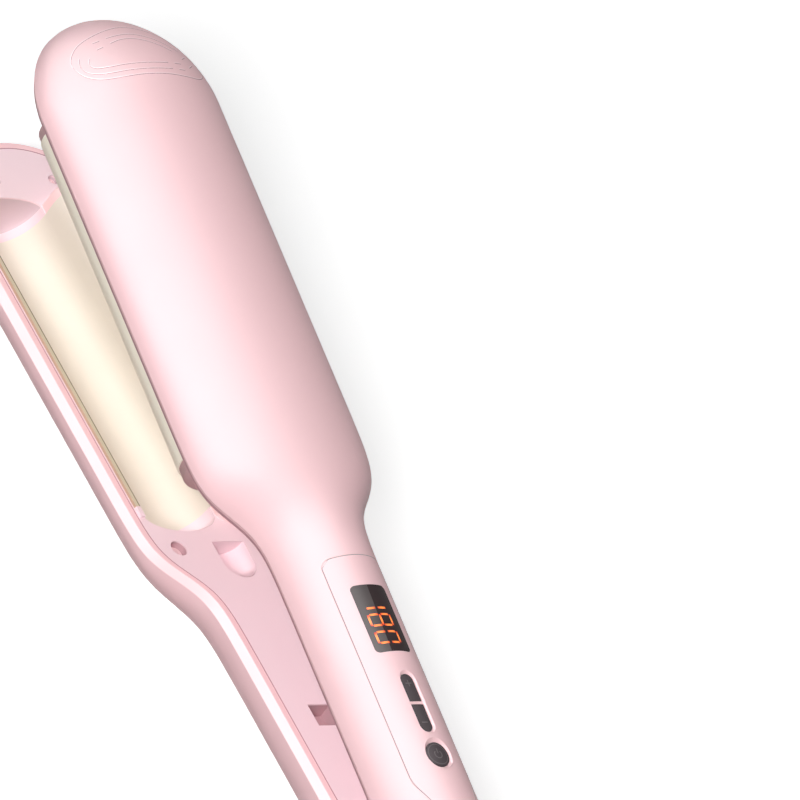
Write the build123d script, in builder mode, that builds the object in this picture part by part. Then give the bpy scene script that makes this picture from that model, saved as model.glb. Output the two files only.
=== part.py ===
from build123d import *
import math
import os

os.makedirs("parts", exist_ok=True)

# Hair waver with two arms that meet like pliers. Millimetres, +X from the hinge to the tip, +Z up.
# The origin lies on the flat belly of the lower arm, straight below the hinge axis.
# Each arm is drawn in its own arm frame: the rim plane is z = 0, its casing rises to +z and its
# barrel hangs to -z. The upper arm keeps that frame, and the lower arm is turned over about X.

# ---- Arms -------------------------------------------------------------------------------------
opening_angle = 8.0  # degrees between the arms when the spring holds them apart
rim_gap = 4.1  # between the two rim planes when the arms are closed
head_half_width = 29.3
handle_half_width = 15.2
rim_bevel_width = 1.4
rim_bevel_height = 2.4
rim_flat = 1.8  # flat rim between the bevel and the seam of the inner cover
neck_middle = 135.5  # where the arm is half way between handle and head width
neck_softness = 8.0  # length scale of the swelling from handle to head
neck_start = 104.0
neck_end = 168.0
neck_steps = 16
head_setback = 1.2  # from the end of the plates back to where the head turns into the rounded tip
upper_tip_length = 30.0
lower_tip_length = 27.7
upper_handle_crown = 17.6
upper_head_crown = 19.4
lower_crown = 17.4
lower_depth = 17.0  # rim plane to flat belly
belly_floor = 1.3  # least wall left inside the flat belly
upper_wall = 2.0
lower_wall = 1.8
upper_end = 10.5  # the upper casing stops here, short of the hinge barrel
tail_start = -8.0
tail_length = 9.0
lower_cavity_end = -9.0

# ---- Wave plates and barrels ------------------------------------------------------------------
plate_start = 158.4
plate_length = 101.8
trough_radius = 12.1
hair_gap = 1.1  # between barrel and trough when the arms are closed
plate_thickness = 1.1
rail_width = 1.4
rail_height = 0.7
flange_reach = 1.9
ring_width = 2.6
bowl_wall = 1.2
tip_bowl_depth = 3.4
neck_bowl_depth = 5.6
cap_end_clearance = 1.0
cap_wall = 1.5
cap_step = 0.4  # the caps stand this far inside the barrel's surface
rail_stop_length = 3.4  # small blocks on the cover that hold the ends of the rail
rail_stop_gap = 0.05

# ---- Inner covers -----------------------------------------------------------------------------
cover_thickness = 1.6
seam_clearance = 0.15
window_clearance = 0.2
scoop_setback = 12.0  # from the plates back to the flat end wall of the scoop near the neck
scoop_length = 12.3
scoop_radius = 5.4
pocket_x = 86.8
pocket_length = 7.2
pocket_width = 7.7
pocket_depth = 5.0
pocket_wall = 1.2
mating_clearance = 0.6  # around the lugs that enter the scoop and the pocket
lug_depth = 2.6
lug_width_share = 0.8  # of the scoop's width, for the lug that enters it
lower_cover_start = 9.0
neck_screw_setback = 14.0  # from the plates back to the two screws at the neck
neck_screw_y = 17.7
handle_screw_x = 20.0
well_radius = 2.5
well_depth = 4.0
well_wall = 1.2
screw_head_height = 1.7
screw_head_clearance = 0.25
screw_shank_radius = 1.2
screw_shank_length = 7.0
slot_length_share = 1.2  # cross slot of a screw head, in head radii
slot_width_share = 0.3
tip_screw_reach = 12.1  # from the end of the plates on to the two small screws
tip_screw_y = 9.8
tip_well_radius = 1.5
tip_well_depth = 2.2
tip_head_height = 1.0
tip_shank_radius = 0.7
tip_shank_length = 5.0
thread_clearance = 0.02

# ---- Hinge, spring and cord inlet -------------------------------------------------------------
knuckle_radius = 8.0
knuckle_half_width = 7.9
cheek_clearance = 0.3
cheek_half_width = 13.0
pin_radius = 2.0
pin_running_clearance = 0.05
pin_end_inset = 0.4
web_rib_length = 3.0
web_rib_clearance = 0.3
stop_length = 12.0
stop_half_width = 5.0
stop_clearance = 0.3
stop_thickness = 2.4
spring_x = 33.0
spring_cup_radius = 5.3
spring_cup_depth = 3.0
spring_radius = 3.7
spring_wire_radius = 0.5
spring_turns = 5.0
spring_rest_length = 13.6  # between the cup floors with the arms open
spring_lean = 0.5  # the coil stands this far nearer the hinge than its cups
swivel_drop = 8.5  # axis of the cord swivel below the rim plane
swivel_neck_radius = 5.2
swivel_flange_radius = 6.3
swivel_flange_thickness = 1.4
swivel_clearance = 0.08
swivel_nose_length = 9.0
swivel_nose_end_radius = 4.4
cord_bore_radius = 3.3

# ---- Controls ---------------------------------------------------------------------------------
panel_tip_x = 114.0
panel_corner_x = 46.0
panel_point_x = 30.0
panel_half_width = 10.0
panel_point_half_width = 4.0
panel_corner_radius = 2.5
panel_shoulder_radius = 8.0
panel_thickness = 1.2
panel_ledge = 1.5
panel_clearance = 0.12
display_x = 94.5
display_length = 20.4
display_width = 11.8
display_corner_radius = 1.3
display_clearance = 0.1
module_inset = 0.3
module_seat_gap = 0.05
digit_middle_x = 93.9
digit_middle_y = 0.6
digit_height = 7.7
digit_width = 3.9
digit_pitch = 5.3
segment_width = 0.6
segment_gap = 0.15
key_slot_x = 68.6
key_slot_length = 17.6
key_width = 4.0
key_rib = 0.8  # wall left between the two long keys
key_clearance = 0.15
key_sink = 0.6
key_rim_depth = 0.5  # depth and width of the sloping rim around the keys
key_rim_step = 0.05  # level step at the foot of the sloping rim
key_travel = 0.5
key_flange = 0.8
key_flange_thickness = 0.8
key_flange_gap = 0.1
key_stem_radius = 1.2
power_x = 52.8
power_radius = 3.6
power_sink = 0.6
board_start = 42.0
board_end = 112.0
board_half_width = 9.5
board_height = 6.2
board_thickness = 1.2
board_post_radius = 2.2
board_post_end_inset = 2.8
board_post_side_inset = 4.0
board_screw_radius = 1.0
board_screw_length = 5.0
board_head_radius = 1.9
board_head_height = 1.1
switch_side = 5.0
switch_height = 3.0
plunger_radius = 1.0
plunger_height = 0.4
plunger_gap = 0.05  # left under the stem when a key is pressed home

# ---- Heating ----------------------------------------------------------------------------------
heater_inset = 8.0
heater_width = 12.0
heater_thickness = 3.6
saddle_clearance = 0.05
saddle_depth = 7.6
carrier_thickness = 1.6
carrier_clearance = 0.1
carrier_edge_gap = 0.4  # between the carrier and the middle wall of the plate
carrier_post_width = 6.0
carrier_post_length = 5.0
sensor_length = 9.0
sensor_radius = 1.3
fuse_radius = 1.9
fuse_length = 11.0

# ---- Worked-out sizes -------------------------------------------------------------------------
barrel_radius = trough_radius - hair_gap
wave_offset = (trough_radius + barrel_radius) / 2  # barrel and trough stand this far either side of y = 0
plate_end = plate_start + plate_length
head_end = plate_end - head_setback
scoop_x = plate_start - scoop_setback
neck_screw_x = plate_start - neck_screw_setback
tip_screw_x = plate_end + tip_screw_reach
upper_casing = (upper_handle_crown, upper_head_crown, upper_tip_length)
lower_casing = (lower_crown, lower_crown, lower_tip_length)
hinge_z = lower_depth + rim_gap / 2
upper_rim_z = lower_depth + rim_gap
middle_wall_y = wave_offset - barrel_radius
rail_y = -wave_offset - trough_radius - rail_width / 2  # middle of the raised rail beside the trough
hinge_axis = Axis((0, 0, hinge_z), (0, -1, 0))


def closed_lower(shape):
    """Turns a piece drawn in the arm frame over into the lower arm's place."""
    return Pos(0, 0, lower_depth) * (Rot(180, 0, 0) * shape)


def opened_upper(shape):
    """Lifts a piece drawn in the arm frame to the upper arm's place, held open by the spring."""
    return (Pos(0, 0, upper_rim_z) * shape).rotate(hinge_axis, opening_angle)


def write(shape, name):
    """Labels a finished piece and writes its STEP file."""
    shape.label = name
    export_step(shape, f"parts/{name}.step")


def joined(added, removed=()):
    """One piece made of the solids added together, less the solids removed."""
    with BuildPart() as piece:
        for solid in added:
            add(solid)
        for solid in removed:
            add(solid, mode=Mode.SUBTRACT)
    return piece.part


# ---- Arm form ---------------------------------------------------------------------------------
def swell(x):
    """0 on the handle, 1 on the head, with a soft S between them."""
    return (1 + math.tanh((x - neck_middle) / neck_softness)) / 2


neck_step = (neck_end - neck_start) / neck_steps
neck_stations = [neck_start + neck_step * i for i in range(neck_steps + 1)]


def arm_section(x, half_width, crown, bevel_width, bevel_height):
    """One closed cross-section: flat rim, bevels and a half ellipse above them."""
    with BuildSketch(Plane.YZ.offset(x)) as section:
        with BuildLine():
            EllipticalCenterArc((0, bevel_height), half_width, crown - bevel_height, 0, arc_size=180)
            Polyline(
                (-half_width, bevel_height),
                (-half_width + bevel_width, 0),
                (half_width - bevel_width, 0),
                (half_width, bevel_height),
            )
        make_face()
    return section.sketch


def half_ellipse(height, center_x, length, half_width, direction):
    """Plan of a rounded arm end at one height, flat where it meets the arm."""
    with BuildSketch(Plane.XY.offset(height)) as plan:
        with BuildLine():
            first = -90 * direction
            EllipticalCenterArc((center_x, 0), length, half_width, first, arc_size=180)
            Line((center_x, -half_width), (center_x, half_width))
        make_face()
    return plan.sketch


def rounded_end(center_x, length, half_width, crown, bevel_width, bevel_height, direction):
    """Quarter ellipsoid over a bevelled band that closes an arm at its tip or tail."""
    with BuildPart() as dome:
        Sphere(length, 0, 90, 180, rotation=(0, 0, -90 * direction), align=None)
    rise = crown - bevel_height
    stretched = scale(dome.part, by=(1, half_width / length, rise / length), about=(0, 0, 0))
    placed = Pos(center_x, 0, bevel_height) * stretched
    rim = half_ellipse(0, center_x, length - bevel_width, half_width - bevel_width, direction)
    belt = half_ellipse(bevel_height, center_x, length, half_width, direction)
    with BuildPart() as end:
        loft([rim.face(), belt.face()], ruled=True)
        add(placed)
    return end.part


def arm_form(casing, start_x, inset, top_inset, bevel_width):
    """Closed arm form from start_x to the tip, drawn in by inset at the sides and top_inset above.

    A casing is its crown height on the handle, its crown height on the head and its tip length.
    """
    handle_crown, head_crown, tip_length = casing
    bevel_height = rim_bevel_height
    handle_half = handle_half_width - inset
    head_half = head_half_width - inset
    handle_top = handle_crown - top_inset
    head_top = head_crown - top_inset
    low = swell(neck_start)
    span = swell(neck_end) - low
    sections = []
    for x in neck_stations:
        share = (swell(x) - low) / span
        half = handle_half + (head_half - handle_half) * share
        top = handle_top + (head_top - handle_top) * share
        sections.append(arm_section(x, half, top, bevel_width, bevel_height).face())
    handle_section = arm_section(start_x, handle_half, handle_top, bevel_width, bevel_height)
    with BuildPart() as handle:
        extrude(handle_section, amount=neck_start - start_x)
    with BuildPart() as neck:
        loft(sections)
    with BuildPart() as head:
        extrude(sections[-1], amount=head_end - neck_end)
    tip_reach = tip_length - inset
    tip = rounded_end(head_end, tip_reach, head_half, head_top, bevel_width, bevel_height, 1)
    return joined((handle.part, neck.part, head.part, tip))


mouth_inset = rim_bevel_width + rim_flat

upper_form = arm_form(upper_casing, upper_end, 0, 0, rim_bevel_width)
upper_cavity = arm_form(upper_casing, upper_end + upper_wall, mouth_inset, upper_wall, 0)
skin_core = arm_form(upper_casing, upper_end, panel_thickness, panel_thickness, 0)
lower_body = arm_form(lower_casing, tail_start, 0, 0, rim_bevel_width)
lower_cavity = arm_form(lower_casing, lower_cavity_end, mouth_inset, lower_wall, 0)
lower_tail = rounded_end(
    tail_start, tail_length, handle_half_width, lower_crown, rim_bevel_width, rim_bevel_height, -1
)
cover_inset = mouth_inset + seam_clearance


def crown_height(y, inset):
    """Height of the upper handle's surface at y, drawn in by inset."""
    half = handle_half_width - inset
    rise = upper_handle_crown - inset - rim_bevel_height
    return rim_bevel_height + rise * math.sqrt(1 - (y / half) ** 2)


# ---- Shared pieces, drawn in the arm frame ----------------------------------------------------
def half_pod(start_x, direction, radius, straight, depth, center_y, center_z, up):
    """Half round pod: a half cylinder of one length with a domed end, above or below center_z."""
    low, high = (0, 90) if up > 0 else (-90, 0)
    with BuildPart() as dome:
        Sphere(radius, low, high, 180, rotation=(0, 0, -90 * direction), align=None)
    flat_dome = scale(dome.part, by=(depth / radius, 1, 1), about=(0, 0, 0))
    placed = Pos(start_x + straight * direction, center_y, center_z) * flat_dome
    with BuildSketch(Plane.YZ.offset(start_x)) as profile:
        with BuildLine():
            first = 0 if up > 0 else 180
            CenterArc((center_y, center_z), radius, first, arc_size=180)
            Line((center_y - radius, center_z), (center_y + radius, center_z))
        make_face()
    with BuildPart() as pod:
        extrude(profile.sketch, amount=straight * direction)
        add(placed)
    return pod.part


def wave_plate():
    """Pressed aluminium plate: raised rail, half round trough, middle wall, barrel and flange."""
    trough_wall = trough_radius + plate_thickness
    barrel_inside = barrel_radius - plate_thickness
    barrel_foot = wave_offset + barrel_radius
    flange_back = cover_thickness + plate_thickness
    with BuildSketch(Plane.YZ.offset(plate_start)) as profile:
        with BuildLine():
            ThreePointArc(
                (-wave_offset - trough_radius, 0),
                (-wave_offset, trough_radius),
                (middle_wall_y, 0),
            )
            Line((middle_wall_y, 0), (middle_wall_y, -rim_gap))
            ThreePointArc(
                (middle_wall_y, -rim_gap),
                (wave_offset, -rim_gap - barrel_radius),
                (barrel_foot, -rim_gap),
            )
            Polyline(
                (barrel_foot, -rim_gap),
                (barrel_foot, cover_thickness),
                (barrel_foot + flange_reach, cover_thickness),
                (barrel_foot + flange_reach, flange_back),
                (barrel_foot - plate_thickness, flange_back),
                (barrel_foot - plate_thickness, -rim_gap),
            )
            ThreePointArc(
                (barrel_foot - plate_thickness, -rim_gap),
                (wave_offset, -rim_gap - barrel_inside),
                (middle_wall_y + plate_thickness, -rim_gap),
            )
            Line((middle_wall_y + plate_thickness, -rim_gap), (middle_wall_y + plate_thickness, 0))
            ThreePointArc(
                (middle_wall_y + plate_thickness, 0),
                (-wave_offset, trough_wall),
                (-wave_offset - trough_wall, 0),
            )
            Line((-wave_offset - trough_wall, 0), (-wave_offset - trough_radius, 0))
        make_face()
        rail_span = rail_height + cover_thickness
        with Locations((rail_y, (cover_thickness - rail_height) / 2)):
            Rectangle(rail_width, rail_span)
        with Locations((-wave_offset, 0)):
            Circle(trough_radius, mode=Mode.SUBTRACT)
    with BuildPart() as plate:
        extrude(profile.sketch, amount=plate_length)
    return plate.part


def barrel_cap(end_x, direction, dome_length):
    """Moulded cap that closes one end of a barrel, standing on the inner cover."""
    radius = barrel_radius - cap_step
    inside = radius - cap_wall
    with BuildSketch(Plane.YZ.offset(end_x)) as outer:
        with BuildLine():
            CenterArc((wave_offset, -rim_gap), radius, 180, arc_size=180)
            Polyline(
                (wave_offset - radius, -rim_gap),
                (wave_offset - radius, 0),
                (wave_offset + radius, 0),
                (wave_offset + radius, -rim_gap),
            )
        make_face()
    with BuildSketch(Plane.YZ.offset(end_x)) as inner:
        with BuildLine():
            CenterArc((wave_offset, -rim_gap), inside, 180, arc_size=180)
            Polyline(
                (wave_offset - inside, -rim_gap),
                (wave_offset - inside, -cap_wall),
                (wave_offset + inside, -cap_wall),
                (wave_offset + inside, -rim_gap),
            )
        make_face()
    foot_x = end_x + ring_width * direction
    foot = Pos(0, wave_offset, 0) * half_ellipse(-rim_gap, foot_x, dome_length, radius, direction)
    pod = half_pod(end_x, direction, radius, ring_width, dome_length, wave_offset, -rim_gap, -1)
    with BuildPart() as cap:
        extrude(outer.sketch, amount=ring_width * direction)
        extrude(foot, amount=rim_gap, dir=(0, 0, 1))
        add(pod)
        extrude(inner.sketch, amount=ring_width * direction, mode=Mode.SUBTRACT)
    return cap.part


def plain_cover(casing, start_x):
    """Inner cover of either arm: plate window, bowls, screw wells and spring cup."""
    blank = arm_form(casing, start_x, cover_inset, 0, 0)
    window_low = -wave_offset - trough_radius - rail_width - window_clearance
    window_high = wave_offset + barrel_radius + window_clearance
    bowls = []
    hollows = []
    for end_x, direction, depth in ((plate_end, 1, tip_bowl_depth), (plate_start, -1, neck_bowl_depth)):
        wall_depth = depth + bowl_wall
        bowls.append(
            half_pod(end_x, direction, trough_radius + bowl_wall, ring_width, wall_depth, -wave_offset, 0, 1)
        )
        hollows.append(half_pod(end_x, direction, trough_radius, ring_width, depth, -wave_offset, 0, 1))
    stop_reach = rail_stop_length / 2 + rail_stop_gap
    rail_stops = [(plate_start - stop_reach, rail_y), (plate_end + stop_reach, rail_y)]
    neck_wells = [(neck_screw_x, neck_screw_y), (neck_screw_x, -neck_screw_y), (handle_screw_x, 0)]
    tip_wells = [(tip_screw_x, tip_screw_y), (tip_screw_x, -tip_screw_y)]
    with BuildPart() as cover:
        add(blank)
        span = casing[-1] + head_end - start_x
        with Locations((start_x + span / 2, 0, cover_thickness / 2)):
            Box(2 * span, 4 * head_half_width, cover_thickness, mode=Mode.INTERSECT)
        for bowl in bowls:
            add(bowl)
        with BuildSketch(Plane.XY.offset(-rail_height)) as stops:
            with Locations(*rail_stops):
                Rectangle(rail_stop_length, rail_width)
        extrude(amount=rail_height + cover_thickness)
        with BuildSketch() as wells:
            with Locations(*neck_wells):
                Circle(well_radius + well_wall)
        extrude(amount=well_depth + well_wall)
        with BuildSketch() as small_wells:
            with Locations(*tip_wells):
                Circle(tip_well_radius + well_wall)
        extrude(amount=tip_well_depth + well_wall)
        with BuildSketch() as cup:
            with Locations((spring_x, 0)):
                Circle(spring_cup_radius + well_wall)
        extrude(amount=spring_cup_depth + well_wall)
        with Locations((plate_start + plate_length / 2, (window_low + window_high) / 2, 0)):
            Box(
                plate_length,
                window_high - window_low,
                4 * cover_thickness,
                mode=Mode.SUBTRACT,
            )
        for hollow in hollows:
            add(hollow, mode=Mode.SUBTRACT)
        with BuildSketch() as well_holes:
            with Locations(*neck_wells):
                Circle(well_radius)
        extrude(amount=well_depth, mode=Mode.SUBTRACT)
        with BuildSketch() as small_holes:
            with Locations(*tip_wells):
                Circle(tip_well_radius)
        extrude(amount=tip_well_depth, mode=Mode.SUBTRACT)
        with BuildSketch() as cup_hole:
            with Locations((spring_x, 0)):
                Circle(spring_cup_radius)
        extrude(amount=spring_cup_depth, mode=Mode.SUBTRACT)
        with BuildSketch() as shank_holes:
            with Locations(*neck_wells):
                Circle(screw_shank_radius + seam_clearance)
        extrude(amount=2 * well_depth, mode=Mode.SUBTRACT)
        with BuildSketch() as small_shank_holes:
            with Locations(*tip_wells):
                Circle(tip_shank_radius + seam_clearance)
        extrude(amount=2 * tip_well_depth, mode=Mode.SUBTRACT)
    return cover.part


def screw_bosses(form):
    """Posts inside a casing that the cover screws bite into, trimmed to the casing's form."""
    neck_points = [(neck_screw_x, neck_screw_y), (neck_screw_x, -neck_screw_y), (handle_screw_x, 0)]
    tip_points = [(tip_screw_x, tip_screw_y), (tip_screw_x, -tip_screw_y)]
    with BuildPart() as bosses:
        with BuildSketch(Plane.XY.offset(well_depth + well_wall)) as posts:
            with Locations(*neck_points):
                Circle(screw_shank_radius + well_wall)
        extrude(amount=lower_depth)
        with BuildSketch(Plane.XY.offset(tip_well_depth + well_wall)) as small_posts:
            with Locations(*tip_points):
                Circle(tip_shank_radius + well_wall)
        extrude(amount=lower_depth)
        add(form, mode=Mode.INTERSECT)
    return bosses.part


def pilot_holes():
    """Holes in the bosses for the cover screws."""
    with BuildPart() as holes:
        with BuildSketch(Plane.XY.offset(well_depth)) as shanks:
            with Locations(
                (neck_screw_x, neck_screw_y), (neck_screw_x, -neck_screw_y), (handle_screw_x, 0)
            ):
                Circle(screw_shank_radius + thread_clearance)
        extrude(amount=screw_shank_length)
        with BuildSketch(Plane.XY.offset(tip_well_depth)) as small_shanks:
            with Locations((tip_screw_x, tip_screw_y), (tip_screw_x, -tip_screw_y)):
                Circle(tip_shank_radius + thread_clearance)
        extrude(amount=tip_shank_length)
    return holes.part


def screws(points, head_z, head_radius, head_height, shank_radius, shank_length):
    """A set of identical pan head screws, heads towards the rim plane, as separate solids."""
    with BuildPart() as group:
        with BuildSketch(Plane.XY.offset(head_z - head_height)) as heads:
            with Locations(*points):
                Circle(head_radius)
        extrude(amount=head_height)
        with BuildSketch(Plane.XY.offset(head_z)) as shanks:
            with Locations(*points):
                Circle(shank_radius)
        extrude(amount=shank_length)
        with BuildSketch(Plane.XY.offset(head_z - head_height)) as slots:
            with Locations(*points):
                Rectangle(head_radius * slot_length_share, head_radius * slot_width_share)
                Rectangle(head_radius * slot_width_share, head_radius * slot_length_share)
        extrude(amount=head_height / 2, mode=Mode.SUBTRACT)
    return group.part


def cover_screws():
    """Three larger screws of an inner cover."""
    points = [(neck_screw_x, neck_screw_y), (neck_screw_x, -neck_screw_y), (handle_screw_x, 0)]
    head = well_radius - screw_head_clearance
    return screws(points, well_depth, head, screw_head_height, screw_shank_radius, screw_shank_length)


def tip_screws():
    """Two small screws at the tip of an inner cover."""
    points = [(tip_screw_x, tip_screw_y), (tip_screw_x, -tip_screw_y)]
    head = tip_well_radius - seam_clearance
    return screws(points, tip_well_depth, head, tip_head_height, tip_shank_radius, tip_shank_length)


def block(x_low, x_high, y_low, y_high, z_low, z_high):
    """Plain rectangular block between two corners."""
    with BuildPart() as solid:
        with Locations(((x_low + x_high) / 2, (y_low + y_high) / 2, (z_low + z_high) / 2)):
            Box(x_high - x_low, y_high - y_low, z_high - z_low)
    return solid.part


heater_start = plate_start + heater_inset
heater_end = plate_end - heater_inset
heater_face = -rim_gap - saddle_depth
heater_back = heater_face + heater_thickness
heater_middle = (heater_start + heater_end) / 2


def heater():
    """Flat ceramic heater bar under the saddle."""
    half = heater_width / 2
    return block(heater_start, heater_end, wave_offset - half, wave_offset + half, heater_face, heater_back)


def heater_saddle():
    """Aluminium filler that carries heat from the flat heater into the round barrel."""
    radius = barrel_radius - plate_thickness - saddle_clearance
    with BuildPart() as saddle:
        with BuildSketch(Plane.YZ.offset(heater_start)) as profile:
            with Locations((wave_offset, -rim_gap)):
                Circle(radius)
            with Locations((wave_offset, -rim_gap - saddle_depth + radius)):
                Rectangle(2 * radius, 2 * radius, mode=Mode.SUBTRACT)
        extrude(amount=heater_end - heater_start)
    return saddle.part


def heater_carrier():
    """Carrier under the plate whose two posts press the heater into the barrel."""
    top = cover_thickness + plate_thickness + carrier_clearance
    low = middle_wall_y + plate_thickness + carrier_edge_gap
    high = wave_offset + barrel_radius + flange_reach - carrier_clearance
    half_width = carrier_post_width / 2
    half_length = carrier_post_length / 2
    left = wave_offset - half_width
    right = wave_offset + half_width
    pieces = [block(heater_start, heater_end, low, high, top, top + carrier_thickness)]
    for x in (heater_start + 2 * carrier_post_length, heater_end - 2 * carrier_post_length):
        pieces.append(block(x - half_length, x + half_length, left, right, heater_back, top))
    return joined(pieces)


def rod(x_middle, y, z, radius, length):
    """Round rod along the arm."""
    with BuildPart() as solid:
        with BuildSketch(Plane.YZ.offset(x_middle - length / 2)) as profile:
            with Locations((y, z)):
                Circle(radius)
        extrude(amount=length)
    return solid.part


def temperature_sensor():
    """Glass thermistor lying along the back of the heater."""
    edge = wave_offset + heater_width / 2 - sensor_radius
    return rod(heater_middle, edge, heater_back + sensor_radius, sensor_radius, sensor_length)


def thermal_fuse():
    """One-shot fuse lying along the back of the heater, on the other side from the sensor."""
    edge = wave_offset - heater_width / 2 + fuse_radius
    return rod(heater_middle, edge, heater_back + fuse_radius, fuse_radius, fuse_length)


barrel_parts = {
    "wave_plate": wave_plate(),
    "barrel_tip_cap": barrel_cap(plate_end, 1, tip_bowl_depth - cap_end_clearance),
    "barrel_neck_cap": barrel_cap(plate_start, -1, neck_bowl_depth - cap_end_clearance),
    "heater": heater(),
    "heater_saddle": heater_saddle(),
    "heater_carrier": heater_carrier(),
    "temperature_sensor": temperature_sensor(),
    "thermal_fuse": thermal_fuse(),
    "cover_screws": cover_screws(),
    "tip_screws": tip_screws(),
}
for kind, shape in barrel_parts.items():
    write(closed_lower(shape), f"lower_{kind}")
    write(opened_upper(shape), f"upper_{kind}")

# ---- Inner covers -----------------------------------------------------------------------------
upper_cover_start = upper_end + upper_wall + seam_clearance
scoop_straight = scoop_length - scoop_radius
pocket_low = pocket_x - pocket_length / 2
pocket_high = pocket_x + pocket_length / 2
lug_radius = scoop_radius - mating_clearance
lug_bottom = -rim_gap - lug_depth

scoop_back = half_pod(
    scoop_x + bowl_wall,
    -1,
    scoop_radius + bowl_wall,
    scoop_straight + bowl_wall,
    scoop_radius + bowl_wall,
    0,
    0,
    1,
)
scoop = half_pod(scoop_x, -1, scoop_radius, scoop_straight, scoop_radius, 0, 0, 1)
pocket_side = pocket_width / 2
pocket_back = block(
    pocket_low - pocket_wall,
    pocket_high + pocket_wall,
    -pocket_side - pocket_wall,
    pocket_side + pocket_wall,
    0,
    pocket_depth + pocket_wall,
)
pocket = block(pocket_low, pocket_high, -pocket_side, pocket_side, 0, pocket_depth)
lower_cover = joined((plain_cover(lower_casing, lower_cover_start), scoop_back, pocket_back), (scoop, pocket))
write(closed_lower(lower_cover), "lower_inner_cover")

board_posts = [
    (x, y)
    for x in (board_start + board_post_end_inset, board_end - board_post_end_inset)
    for y in (board_post_side_inset - board_half_width, board_half_width - board_post_side_inset)
]

with BuildPart() as cover_fittings:
    with BuildSketch(Plane.XY.offset(lug_bottom)) as lugs:
        with Locations((scoop_x - mating_clearance - scoop_straight / 2, 0)):
            Rectangle(scoop_straight - mating_clearance, 2 * lug_radius * lug_width_share)
        with Locations((pocket_x, 0)):
            Rectangle(pocket_length - 2 * mating_clearance, pocket_width - 2 * mating_clearance)
    extrude(amount=-lug_bottom)
    with BuildSketch(Plane.XY.offset(cover_thickness)) as posts:
        with Locations(*board_posts):
            Circle(board_post_radius)
            Circle(board_screw_radius + thread_clearance, mode=Mode.SUBTRACT)
    extrude(amount=board_height - cover_thickness)
upper_cover = joined((plain_cover(upper_casing, upper_cover_start), cover_fittings.part))
write(opened_upper(upper_cover), "upper_inner_cover")

# ---- Control panel ----------------------------------------------------------------------------
key_length = (key_slot_length - key_rib) / 2 - key_clearance
key_offset = (key_slot_length - key_length) / 2
minus_x = key_slot_x - key_offset
plus_x = key_slot_x + key_offset
board_top = board_height + board_thickness


def panel_outline(grow):
    """Outline of the control panel in plan: straight sides and a blunt point towards the hinge."""
    with BuildSketch() as outline:
        with BuildLine():
            Polyline(
                (panel_tip_x, -panel_half_width),
                (panel_tip_x, panel_half_width),
                (panel_corner_x, panel_half_width),
                (panel_point_x, panel_point_half_width),
                (panel_point_x, -panel_point_half_width),
                (panel_corner_x, -panel_half_width),
                (panel_tip_x, -panel_half_width),
            )
        make_face()
        corners = outline.vertices().group_by(Axis.X)
        fillet(corners[-1], panel_corner_radius)
        fillet(corners[0], panel_corner_radius)
        shoulders = outline.vertices().filter_by(lambda v: abs(v.X - panel_corner_x) < 1)
        fillet(shoulders, panel_shoulder_radius)
        if grow:
            offset(amount=grow)
    return outline.sketch


def column(sketch, bottom, top):
    """Straight prism on a plan sketch between two heights."""
    raised = Pos(0, 0, bottom) * sketch
    with BuildPart() as prism:
        extrude(raised, amount=top - bottom)
    return prism.part


def skin(sketch):
    """Piece of the upper casing's outer skin, panel_thickness thick, cut out by a plan sketch."""
    prism = column(sketch, board_top, 2 * upper_handle_crown)
    with BuildPart() as piece:
        add(upper_form)
        add(prism, mode=Mode.INTERSECT)
        add(skin_core, mode=Mode.SUBTRACT)
    return piece.part


def key_sketch(x):
    """Plan of one of the two long keys: round outer end, flat inner end."""
    outward = math.copysign(1, x - key_slot_x)
    inner_x = x - outward * key_length / 2
    center_x = x + outward * (key_length - key_width) / 2
    half_width = key_width / 2
    with BuildSketch() as sketch:
        with BuildLine():
            CenterArc((center_x, 0), half_width, -90 * outward, arc_size=180)
            Polyline(
                (center_x, half_width * outward),
                (inner_x, half_width * outward),
                (inner_x, -half_width * outward),
                (center_x, -half_width * outward),
            )
        make_face()
    return sketch.sketch


def slot_sketch(grow):
    """Plan of the slot that holds both long keys."""
    with BuildSketch() as sketch:
        with Locations((key_slot_x, 0)):
            SlotOverall(key_slot_length + 2 * grow, key_width + 2 * grow)
    return sketch.sketch


def disc_sketch(x, radius):
    """Round plan on the arm's centre line."""
    with BuildSketch() as sketch:
        with Locations((x, 0)):
            Circle(radius)
    return sketch.sketch


def window_sketch(grow):
    """Plan of the display window, and of its hole in the panel with grow."""
    with BuildSketch() as sketch:
        with Locations((display_x, 0)):
            RectangleRounded(
                display_length + 2 * grow, display_width + 2 * grow, display_corner_radius + grow
            )
    return sketch.sketch


def sloping_rim(sketch, half_width):
    """Tapered cut that opens a hole's edge outwards where it meets the casing's surface."""
    bottom = crown_height(half_width, key_rim_depth)
    raised = Pos(0, 0, bottom) * sketch
    with BuildPart() as rim:
        extrude(raised, amount=4 * key_rim_depth, taper=-45)
    return rim.part


rim_grow = key_clearance + key_rim_step
key_reach = key_width / 2 + rim_grow
power_reach = power_radius + rim_grow
rib_top = crown_height(key_reach, key_rim_depth)
key_wall = block(key_slot_x - key_rib / 2, key_slot_x + key_rib / 2, -key_width, key_width, -1, rib_top)
key_well = joined((column(slot_sketch(key_clearance), 0, 2 * upper_handle_crown),), (key_wall,))
key_opening = joined((key_well, sloping_rim(slot_sketch(rim_grow), key_reach)))
power_well = column(disc_sketch(power_x, power_radius + key_clearance), 0, 2 * upper_handle_crown)
power_opening = joined((power_well, sloping_rim(disc_sketch(power_x, power_reach), power_reach)))
window_opening = column(window_sketch(display_clearance), 0, 2 * upper_handle_crown)
panel_holes = (key_opening, power_opening, window_opening)
panel = joined((skin(panel_outline(0)),), panel_holes)
write(opened_upper(panel), "control_panel")

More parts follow.
